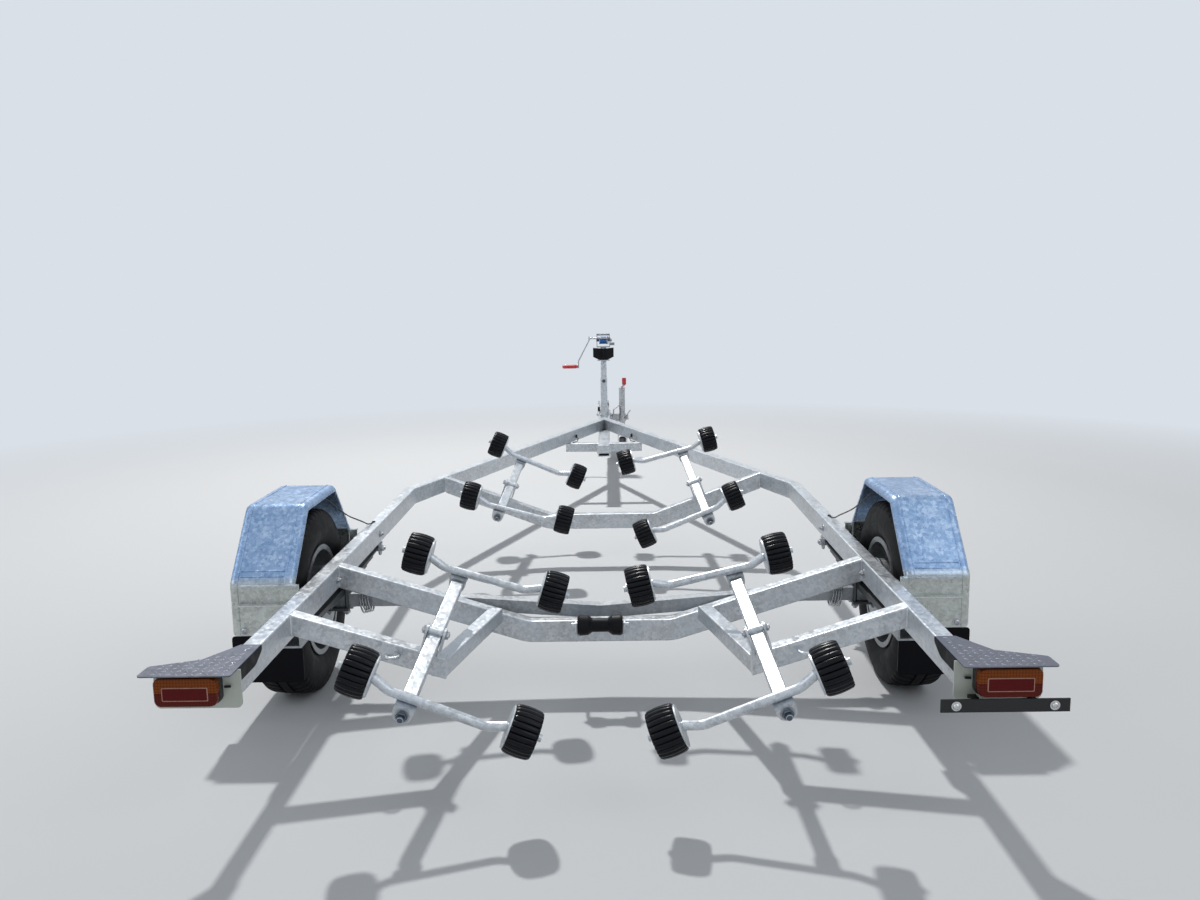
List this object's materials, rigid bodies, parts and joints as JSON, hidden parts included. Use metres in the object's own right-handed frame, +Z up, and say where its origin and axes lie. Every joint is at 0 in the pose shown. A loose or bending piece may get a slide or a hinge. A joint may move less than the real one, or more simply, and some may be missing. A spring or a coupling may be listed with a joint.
{
  "type": "multi-roller boat trailer",
  "caption": "Single-axle galvanised boat trailer with rocking roller arms on walking beams, mudguards, rear lamps, winch post and jockey wheel.",
  "frame": {"origin": "on the floor under the middle of the trailer's length and width", "axes": "+Y towards the hitch along the trailer, +X to its right, +Z up"},
  "size_m": [2.304, 6.306, 1.058],
  "materials": {
    "galvanised": "hot-dip galvanised, pale grey with soft spangle",
    "zinc_plate": "bright zinc plate",
    "spring_steel": "dark painted spring leaves",
    "wheel_steel": "galvanised pressed steel wheel",
    "tyre": "matt black tyre rubber",
    "roller_rubber": "black ribbed rubber with a slight sheen",
    "black_rubber": "matt black rubber",
    "black_paint": "black painted sheet",
    "lamp_red": "moulded red and amber lens on a black base",
    "strap_blue": "woven blue winch strap on its drum"
  },
  "bodies": {
    "chassis": {"rail_left": "galvanised", "rail_right": "galvanised", "drawbar": "galvanised", "cross_bend": "galvanised", "cross_axle": "galvanised", "cross_rear": "galvanised", "axle": "galvanised", "springs": "spring_steel", "spring_hangers": "galvanised", "mudguards": "galvanised", "mud_flaps": "black_rubber", "lamp_plates": "galvanised", "tail_lamps": "lamp_red", "lamp_guards": "black_paint", "plate_strip": "black_paint", "winch_post": "galvanised", "bow_block": "black_rubber", "winch_frame": "galvanised", "coupling": "zinc_plate", "jockey_clamp": "zinc_plate", "jockey_tube": "zinc_plate", "wires": "black_rubber"},
    "wheel_left": {"tyre_left": "tyre", "wheel_left": "wheel_steel"},
    "wheel_right": {"tyre_right": "tyre", "wheel_right": "wheel_steel"},
    "beam_rear_left": {"beam_rear_left": "galvanised"},
    "arm_rear_left_back": {"arm_rear_left_back": "galvanised"},
    "roller_rear_left_back_outer": {"roller_rear_left_back_outer": "roller_rubber"},
    "roller_rear_left_back_inner": {"roller_rear_left_back_inner": "roller_rubber"},
    "arm_rear_left_fore": {"arm_rear_left_fore": "galvanised"},
    "roller_rear_left_fore_outer": {"roller_rear_left_fore_outer": "roller_rubber"},
    "roller_rear_left_fore_inner": {"roller_rear_left_fore_inner": "roller_rubber"},
    "beam_rear_right": {"beam_rear_right": "galvanised"},
    "arm_rear_right_back": {"arm_rear_right_back": "galvanised"},
    "roller_rear_right_back_outer": {"roller_rear_right_back_outer": "roller_rubber"},
    "roller_rear_right_back_inner": {"roller_rear_right_back_inner": "roller_rubber"},
    "arm_rear_right_fore": {"arm_rear_right_fore": "galvanised"},
    "roller_rear_right_fore_outer": {"roller_rear_right_fore_outer": "roller_rubber"},
    "roller_rear_right_fore_inner": {"roller_rear_right_fore_inner": "roller_rubber"},
    "beam_front_left": {"beam_front_left": "galvanised"},
    "arm_front_left_back": {"arm_front_left_back": "galvanised"},
    "roller_front_left_back_outer": {"roller_front_left_back_outer": "roller_rubber"},
    "roller_front_left_back_inner": {"roller_front_left_back_inner": "roller_rubber"},
    "arm_front_left_fore": {"arm_front_left_fore": "galvanised"},
    "roller_front_left_fore_outer": {"roller_front_left_fore_outer": "roller_rubber"},
    "roller_front_left_fore_inner": {"roller_front_left_fore_inner": "roller_rubber"},
    "beam_front_right": {"beam_front_right": "galvanised"},
    "arm_front_right_back": {"arm_front_right_back": "galvanised"},
    "roller_front_right_back_outer": {"roller_front_right_back_outer": "roller_rubber"},
    "roller_front_right_back_inner": {"roller_front_right_back_inner": "roller_rubber"},
    "arm_front_right_fore": {"arm_front_right_fore": "galvanised"},
    "roller_front_right_fore_outer": {"roller_front_right_fore_outer": "roller_rubber"},
    "roller_front_right_fore_inner": {"roller_front_right_fore_inner": "roller_rubber"},
    "keel_roller": {"keel_roller": "roller_rubber"},
    "winch_crank": {"winch_crank": "zinc_plate"},
    "winch_drum": {"winch_drum": "strap_blue"},
    "jockey_leg": {"jockey_leg": "zinc_plate"},
    "jockey_fork": {"jockey_fork": "zinc_plate"},
    "jockey_wheel": {"jockey_wheel": "black_rubber"}
  },
  "joints": [
    {"name": "wheel_left_spin", "type": "hinge", "parent": "chassis", "child": "wheel_left", "pos_m": [-1.045, -2.075, 0.318], "axis": [1, 0, 0], "continuous": true},
    {"name": "wheel_right_spin", "type": "hinge", "parent": "chassis", "child": "wheel_right", "pos_m": [1.045, -2.075, 0.318], "axis": [1, 0, 0], "continuous": true},
    {"name": "beam_rear_left_tilt", "type": "hinge", "parent": "chassis", "child": "beam_rear_left", "pos_m": [-0.469, -2.66, 0.39408], "axis": [0.9542, 0, -0.299], "range_deg": [-12, 8]},
    {"name": "arm_rear_left_back_rock", "type": "hinge", "parent": "beam_rear_left", "child": "arm_rear_left_back", "pos_m": [-0.49701, -2.99484, 0.3047], "axis": [-0.0622, -0.9781, -0.1984], "range_deg": [-9.9, 20.1]},
    {"name": "roller_rear_left_back_outer_spin", "type": "hinge", "parent": "arm_rear_left_back", "child": "roller_rear_left_back_outer", "pos_m": [-0.60941, -3.00997, 0.41449], "axis": [0.9245, 0.0185, -0.3808], "continuous": true},
    {"name": "roller_rear_left_back_inner_spin", "type": "hinge", "parent": "arm_rear_left_back", "child": "roller_rear_left_back_inner", "pos_m": [-0.1934, -3.00165, 0.24311], "axis": [0.9245, 0.0185, -0.3808], "continuous": true},
    {"name": "arm_rear_left_fore_rock", "type": "hinge", "parent": "beam_rear_left", "child": "arm_rear_left_fore", "pos_m": [-0.45386, -2.31601, 0.44239], "axis": [-0.0622, -0.9781, -0.1984], "range_deg": [-15.4, 14.6]},
    {"name": "roller_rear_left_fore_outer_spin", "type": "hinge", "parent": "arm_rear_left_fore", "child": "roller_rear_left_fore_outer", "pos_m": [-0.57632, -2.32827, 0.54122], "axis": [0.9563, -0.0015, -0.2925], "continuous": true},
    {"name": "roller_rear_left_fore_inner_spin", "type": "hinge", "parent": "arm_rear_left_fore", "child": "roller_rear_left_fore_inner", "pos_m": [-0.14601, -2.32892, 0.40959], "axis": [0.9563, -0.0015, -0.2925], "continuous": true},
    {"name": "beam_rear_right_tilt", "type": "hinge", "parent": "chassis", "child": "beam_rear_right", "pos_m": [0.453, -2.66, 0.38906], "axis": [0.9542, 0, 0.299], "range_deg": [-12, 8]},
    {"name": "arm_rear_right_back_rock", "type": "hinge", "parent": "beam_rear_right", "child": "arm_rear_right_back", "pos_m": [0.48101, -2.99484, 0.29968], "axis": [-0.0622, 0.9781, 0.1984], "range_deg": [-10.4, 19.6]},
    {"name": "roller_rear_right_back_outer_spin", "type": "hinge", "parent": "arm_rear_right_back", "child": "roller_rear_right_back_outer", "pos_m": [0.59437, -3.00971, 0.40852], "axis": [-0.9277, 0.0167, -0.3729], "continuous": true},
    {"name": "roller_rear_right_back_inner_spin", "type": "hinge", "parent": "arm_rear_right_back", "child": "roller_rear_right_back_inner", "pos_m": [0.1769, -3.00221, 0.2407], "axis": [-0.9277, 0.0167, -0.3729], "continuous": true},
    {"name": "arm_rear_right_fore_rock", "type": "hinge", "parent": "beam_rear_right", "child": "arm_rear_right_fore", "pos_m": [0.43786, -2.31601, 0.43737], "axis": [-0.0622, 0.9781, 0.1984], "range_deg": [-19.8, 10.2]},
    {"name": "roller_rear_right_fore_outer_spin", "type": "hinge", "parent": "arm_rear_right_fore", "child": "roller_rear_right_fore_outer", "pos_m": [0.56757, -2.3259, 0.52678], "axis": [-0.9754, -0.0174, -0.2199], "continuous": true},
    {"name": "roller_rear_right_fore_inner_spin", "type": "hinge", "parent": "arm_rear_right_fore", "child": "roller_rear_right_fore_inner", "pos_m": [0.12865, -2.33373, 0.42784], "axis": [-0.9754, -0.0174, -0.2199], "continuous": true},
    {"name": "beam_front_left_tilt", "type": "hinge", "parent": "chassis", "child": "beam_front_left", "pos_m": [-0.458, -0.51, 0.41438], "axis": [0.9385, 0, -0.3453], "range_deg": [-12, 8]},
    {"name": "arm_front_left_back_rock", "type": "hinge", "parent": "beam_front_left", "child": "arm_front_left_back", "pos_m": [-0.48771, -0.84688, 0.33363], "axis": [-0.0641, -0.9826, -0.1742], "range_deg": [-20, 10]},
    {"name": "roller_front_left_back_outer_spin", "type": "hinge", "parent": "arm_front_left_back", "child": "roller_front_left_back_outer", "pos_m": [-0.61315, -0.85562, 0.42904], "axis": [0.9645, -0.0162, -0.2636], "continuous": true},
    {"name": "roller_front_left_back_inner_spin", "type": "hinge", "parent": "arm_front_left_back", "child": "roller_front_left_back_inner", "pos_m": [-0.17913, -0.8629, 0.31042], "axis": [0.9645, -0.0162, -0.2636], "continuous": true},
    {"name": "arm_front_left_fore_rock", "type": "hinge", "parent": "beam_front_left", "child": "arm_front_left_fore", "pos_m": [-0.44322, -0.16495, 0.45455], "axis": [-0.0641, -0.9826, -0.1742], "range_deg": [-11.9, 18.1]},
    {"name": "roller_front_left_fore_outer_spin", "type": "hinge", "parent": "arm_front_left_fore", "child": "roller_front_left_fore_outer", "pos_m": [-0.55399, -0.17754, 0.5663], "axis": [0.9188, 0.01, -0.3947], "continuous": true},
    {"name": "roller_front_left_fore_inner_spin", "type": "hinge", "parent": "arm_front_left_fore", "child": "roller_front_left_fore_inner", "pos_m": [-0.14054, -0.17302, 0.38871], "axis": [0.9188, 0.01, -0.3947], "continuous": true},
    {"name": "beam_front_right_tilt", "type": "hinge", "parent": "chassis", "child": "beam_front_right", "pos_m": [0.458, -0.51, 0.41438], "axis": [0.9385, 0, 0.3453], "range_deg": [-12, 8]},
    {"name": "arm_front_right_back_rock", "type": "hinge", "parent": "beam_front_right", "child": "arm_front_right_back", "pos_m": [0.49951, -0.83625, 0.30156], "axis": [-0.0986, 0.9583, 0.2681], "range_deg": [-12.1, 17.9]},
    {"name": "roller_front_right_back_outer_spin", "type": "hinge", "parent": "arm_front_right_back", "child": "roller_front_right_back_outer", "pos_m": [0.61123, -0.85548, 0.41139], "axis": [-0.9205, 0.0145, -0.3904], "continuous": true},
    {"name": "roller_front_right_back_inner_spin", "type": "hinge", "parent": "arm_front_right_back", "child": "roller_front_right_back_inner", "pos_m": [0.19699, -0.84898, 0.23573], "axis": [-0.9205, 0.0145, -0.3904], "continuous": true},
    {"name": "arm_front_right_fore_rock", "type": "hinge", "parent": "beam_front_right", "child": "arm_front_right_fore", "pos_m": [0.43105, -0.17118, 0.48763], "axis": [-0.0986, 0.9583, 0.2681], "range_deg": [-20.7, 9.3]},
    {"name": "roller_front_right_fore_outer_spin", "type": "hinge", "parent": "arm_front_right_fore", "child": "roller_front_right_fore_outer", "pos_m": [0.55803, -0.18409, 0.58051], "axis": [-0.9667, -0.0284, -0.2543], "continuous": true},
    {"name": "roller_front_right_fore_inner_spin", "type": "hinge", "parent": "arm_front_right_fore", "child": "roller_front_right_fore_inner", "pos_m": [0.123, -0.19686, 0.46609], "axis": [-0.9667, -0.0284, -0.2543], "continuous": true},
    {"name": "keel_roller_spin", "type": "hinge", "parent": "chassis", "child": "keel_roller", "pos_m": [0, -2.235, 0.265], "axis": [1, 0, 0], "continuous": true},
    {"name": "winch_crank_turn", "type": "hinge", "parent": "chassis", "child": "winch_crank", "pos_m": [0, 2.04, 1.022], "axis": [1, 0, 0], "continuous": true},
    {"name": "winch_drum_turn", "type": "hinge", "parent": "chassis", "child": "winch_drum", "pos_m": [0, 2.075, 1.005], "axis": [1, 0, 0], "continuous": true},
    {"name": "jockey_leg_slide", "type": "slide", "parent": "chassis", "child": "jockey_leg", "axis": [0, 0, 1], "range_m": [-0.15, 0.03]},
    {"name": "jockey_fork_swivel", "type": "hinge", "parent": "jockey_leg", "child": "jockey_fork", "pos_m": [0.142, 2.685, 0.2], "axis": [0, 0, 1], "continuous": true},
    {"name": "jockey_wheel_spin", "type": "hinge", "parent": "jockey_fork", "child": "jockey_wheel", "pos_m": [0.142, 2.64, 0.098], "axis": [1, 0, 0], "continuous": true}
  ],
  "couplings": [
    {"joint": "winch_drum_turn", "follows": "winch_crank_turn", "ratio": -0.3125}
  ]
}
